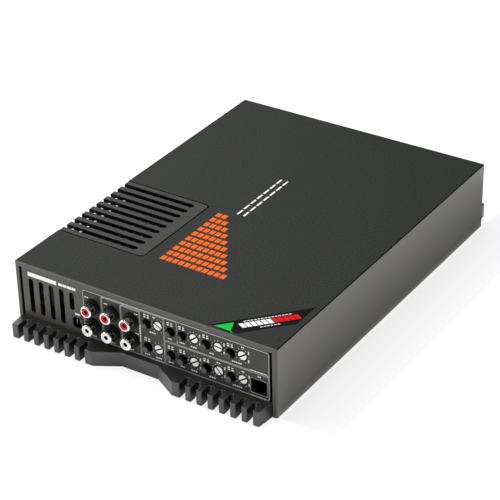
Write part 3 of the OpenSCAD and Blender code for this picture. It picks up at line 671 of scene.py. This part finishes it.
made[grey_ink].append(run_tree(
    "socket_rim", frame_tree, bpy.data.meshes.new("empty"), grey_ink, Width=12.4 * mm,
    Height=10.8 * mm, Corner=0.4 * mm, Line=0.6 * mm, Ink=INK,
    Place=Vector(((socket_low.x + socket_high.x) / 2, socket_low.y, (socket_low.z + socket_high.z) / 2))))
line_frames = joined("printed_outline", made[line_ink])
grey_frames = joined("printed_bands", made[grey_ink])
for piece in (line_frames, grey_frames):
    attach(piece, CASE)
print(len(frames), "printed frames,", len(grey_frames.data.polygons), "faces in the bands")

# %% Labels and dial marks
def centre(name):
    """The middle of a CAD node's box."""
    low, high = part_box(name)
    return (low + high) / 2


def from_corner(point):
    """Millimetres from the case's left side and from its top."""
    return ((point.x - CASE_LOW.x) / mm, (CASE_HIGH.z - point.z) / mm)


buttons = [from_corner(centre(f"push_button_{i}")) for i in range(1, 11)]
dials = [from_corner(centre(f"level_shaft_{i}")) for i in range(1, 9)]


def label(across, down, width, height=0.95, letter=1.15):
    """A label of plain dashes, each about as wide as a letter pair."""
    count = max(1, round(width / (letter + 0.35)))
    step = width / count
    return [dash(across + (i - (count - 1) / 2) * step, down, step - 0.35, height) for i in range(count)]


marks = [dash(21.8, 6.9, 23.2, 3.0), *label(42.0, 6.9, 14.2, 2.0, 3.0), dash(49.2, 25.3, 4.0, 1.3)]
marks += [dash(98.9, 17.0 + 1.9 * i, 0.9, 1.3, 0.03) for i in range(7)]
for across, down, width in ((57.3, 9.4, 3.2), (72.5, 9.4, 3.0), (96.0, 9.4, 3.0), (96.2, 23.8, 3.0),
                            (62.0, 37.4, 3.8), (76.9, 37.4, 3.6), (91.5, 37.4, 3.2)):
    marks += label(across, down, width, 0.9)
for across, down in buttons:
    for row, widths in enumerate(((1.7, 1.2), (1.5, 1.7))):
        marks += [dash(across - 1.7, down - 6.35 + 1.5 * row, widths[0], 0.9),
                  dash(across + 1.0, down - 6.35 + 1.5 * row, widths[1], 0.9)]
for across, width in ((108.5, 5.0), (121.6, 3.2), (130.7, 4.4), (139.6, 4.8), (152.8, 3.3), (171.2, 7.4)):
    marks += label(across, 18.9, width)
for across, width in ((103.6, 4.3), (112.5, 4.7), (121.6, 4.3), (130.7, 3.4), (139.3, 4.8), (152.8, 5.2),
                      (171.2, 7.2)):
    marks += label(across, 36.5, width)
for across, down, width in ((109.8, 7.3, 2.0), (175.7, 6.5, 2.3), (157.6, 24.2, 3.2), (175.5, 24.2, 2.3)):
    marks += label(across, down, width, 0.9)
for number, (across, down) in enumerate(dials):
    if number % 4:
        marks += [dash(across + 4.5, down + dz, 0.8, 2.2) for dz in (-3.3, 2.8)]
    for tick in range(11):
        angle = math.radians(-150 + tick * 30)
        marks.append(dash(across + 4.75 * math.sin(angle), down - 4.75 * math.cos(angle), 0.45, 0.45))
marks += [*label(186.8, 20.9, 12.4, 1.2, 2.0), *label(187.4, 23.9, 2.6),
          *label(186.5, 39.0, 10.8, 0.95, 2.0)]
labels = run_tree("printed_labels", block_tree, mark_points(marks), panel_ink)
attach(labels, CASE)
print(len(marks), "marks on the panel")

# %% [markdown]
# ## The print on the top
# The top carries one orange print, a plain level-meter pattern of small tiles, beside a pale
# double rule. The tiles are points of a grid from which a tree deletes all that lie past the
# end of their row. Each row is about one tile shorter than the row in front of it, so the
# pattern is a plain ramp and needs no list.

# %% A tree for the row of tiles
meter_tree, start, end = geometry_tree("level_meter", [
    ("Columns", "Int", 14), ("Rows", "Int", 10), ("Pitch across", "Float", 0.0046),
    ("Pitch along", "Float", 0.0071), ("Tile width", "Float", 0.0036),
    ("Tile length", "Float", 0.0048), ("Longest", "Float", 10.5), ("Step", "Float", 0.95),
    ("Place", "Vector", (0, 0, 0)), ("Ink", "Float", 0.00004)])
grid = add(meter_tree, "GeometryNodeMeshGrid")


def count_less_one(socket):
    """The number of gaps between that many tiles."""
    return math_node(meter_tree, "SUBTRACT", socket, 1.0)


span_x = math_node(meter_tree, "MULTIPLY", count_less_one(start.outputs["Columns"]),
                   start.outputs["Pitch across"])
span_y = math_node(meter_tree, "MULTIPLY", count_less_one(start.outputs["Rows"]),
                   start.outputs["Pitch along"])
spot = add(meter_tree, "GeometryNodeInputPosition")
parts = add(meter_tree, "ShaderNodeSeparateXYZ")
column = math_node(meter_tree, "DIVIDE",
                   math_node(meter_tree, "ADD", parts.outputs[0],
                             math_node(meter_tree, "MULTIPLY", span_x, 0.5)),
                   start.outputs["Pitch across"])
row = math_node(meter_tree, "ROUND", math_node(
    meter_tree, "DIVIDE", math_node(meter_tree, "ADD", parts.outputs[1],
                                    math_node(meter_tree, "MULTIPLY", span_y, 0.5)),
    start.outputs["Pitch along"]))
length = math_node(meter_tree, "SUBTRACT", start.outputs["Longest"],
                   math_node(meter_tree, "MULTIPLY", row, start.outputs["Step"]))
past_end = math_node(meter_tree, "GREATER_THAN", column, length)
trim = add(meter_tree, "GeometryNodeDeleteGeometry", domain="POINT")
tile = add(meter_tree, "GeometryNodeMeshCube")
tile_size = add(meter_tree, "ShaderNodeCombineXYZ")
put = add(meter_tree, "GeometryNodeInstanceOnPoints")
shift = add(meter_tree, "GeometryNodeTransform")
wire(meter_tree, (spot.outputs["Position"], parts.inputs[0]), (span_x, grid.inputs["Size X"]),
     (span_y, grid.inputs["Size Y"]), (start.outputs["Columns"], grid.inputs["Vertices X"]),
     (start.outputs["Rows"], grid.inputs["Vertices Y"]), (grid.outputs["Mesh"], trim.inputs["Geometry"]),
     (past_end, trim.inputs["Selection"]), (trim.outputs["Geometry"], put.inputs["Points"]),
     (start.outputs["Tile width"], tile_size.inputs[0]),
     (start.outputs["Tile length"], tile_size.inputs[1]), (start.outputs["Ink"], tile_size.inputs[2]),
     (tile_size.outputs[0], tile.inputs["Size"]), (tile.outputs["Mesh"], put.inputs["Instance"]),
     (put.outputs["Instances"], shift.inputs["Geometry"]),
     (start.outputs["Place"], shift.inputs["Translation"]))
finish_tree(meter_tree, start, end, shift.outputs["Geometry"])
print("meter tree has", len(meter_tree.nodes), "nodes")


# %% Orange tiles and the pale rule
def on_top(across, back):
    """A place on the top, by its millimetres from the left side and from the rear."""
    return Vector((CASE_LOW.x + across * mm, CASE_HIGH.y - back * mm, CASE_HIGH.z))


meter = run_tree("printed_level_meter", meter_tree, bpy.data.meshes.new("empty"), orange_ink,
                 Place=on_top(110.6, 188.0))
rule = [(on_top(across, 96.0 + 8.2 * i), (1.4 * mm, 6.6 * mm, INK), (0, 0, 0))
        for across in (90.6, 95.6) for i in range(7)]
pale_rule = run_tree("printed_rule", block_tree, mark_points(rule), white_ink)
for piece in (meter, pale_rule):
    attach(piece, CASE)
print(len(meter.data.polygons) // 6, "tiles")

# %% [markdown]
# ## The corner sticker
# A printed foil label crosses the front right corner of the top at 45 degrees. It is a flat
# plate whose outline is clipped by the case's edges, with stripes of ink above it. Plates of
# any outline come from one small function: a polygon, given some thickness.

# %% Plates with a stated outline
def plate(name, corners, low, high, material):
    """A flat plate between two heights, with straight sides; corners run anticlockwise."""
    count = len(corners)
    points = [(x, y, z) for z in (low, high) for x, y in corners]
    faces = [tuple(reversed(range(count))), tuple(range(count, 2 * count))]
    faces += [(i, (i + 1) % count, (i + 1) % count + count, i + count) for i in range(count)]
    mesh = bpy.data.meshes.new(name)
    mesh.from_pydata(points, [], faces)
    mesh.materials.append(material)
    piece = bpy.data.objects.new(name, mesh)
    scene.collection.objects.link(piece)
    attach(piece, CASE)
    return piece


foil = {"black": coated("foil_black", grey(0.004), 0.4, relief=0.002, wander=0.05, ior=1.08),
        "green": coated("foil_green", (0.002, 0.38, 0.04), 0.4, relief=0.002, wander=0.05, ior=1.08),
        "red": coated("foil_red", (0.55, 0.004, 0.008), 0.4, relief=0.002, wander=0.05, ior=1.08),
        "white": white_ink}
label_corner = on_top(150.5, 269.8)
along = Vector((45.0, 49.6, 0)).normalized()
across = Vector((along.y, -along.x, 0))


def on_label(run, rise):
    """A place on the label, by its millimetres along the band and across it from its long edge."""
    return (label_corner + along * run * mm + across * rise * mm).xy


def cut_front(rise):
    """The least run that stays on the top, where the front edge cuts the band."""
    return rise * across.y / -along.y


def cut_right(rise):
    """The largest run that stays on the top, where the right edge cuts the band."""
    return 67.0 - rise * across.x / along.x


label_width = 14.4
first_block, block_pitch, block_run, white_blocks, blocks = 16.4, 3.45, 2.95, 6, 11
dash_pitch = 2.2
print("label band", label_width, "mm wide with", blocks, "blocks")


# %% The label and its stripes
def stripe(name, run_low, run_high, rise_low, rise_high, material, layer, slant=0.0):
    """A stripe of the label between two runs, clipped by the front and right edges of the band."""
    corners = [(max(run_low, cut_front(rise_low)), rise_low),
               (max(run_low + slant, cut_front(rise_high)), rise_high),
               (min(run_high + slant, cut_right(rise_high)), rise_high),
               (min(run_high, cut_right(rise_low)), rise_low)]
    low = CASE_HIGH.z - 0.01 * mm
    return plate(name, [on_label(*c) for c in reversed(corners)], low,
                 CASE_HIGH.z + (0.03 + 0.02 * layer) * mm, material)


stripe("label_base", -20, 90, 0, label_width, foil["black"], 0)
stripe("label_green_end", -20, 14.4, 2.0, 12.2, foil["green"], 1, slant=-5.2)
for number in range(blocks):
    colour = "white" if number < white_blocks else "red"
    start_run = first_block + block_pitch * number
    stripe(f"label_{colour}_{number + 1}", start_run, start_run + block_run, 4.2, 9.4,
           foil[colour], 1, slant=1.5)
tilt = math.atan2(along.y, along.x)
fine = []
for low_run, high_run, rise in ((20.0, 52.5, 2.6), (28.0, 43.0, 11.6)):
    for number in range(int((high_run - low_run) / dash_pitch)):
        spot = on_label(low_run + dash_pitch * (number + 0.5), rise)
        fine.append((Vector((*spot, CASE_HIGH.z + 0.04 * mm)),
                     (1.7 * mm, 0.75 * mm, 0.03 * mm), (0, 0, tilt)))
fine_lines = run_tree("label_fine_lines", block_tree, mark_points(fine), white_ink)
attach(fine_lines, CASE)
print("label laid")
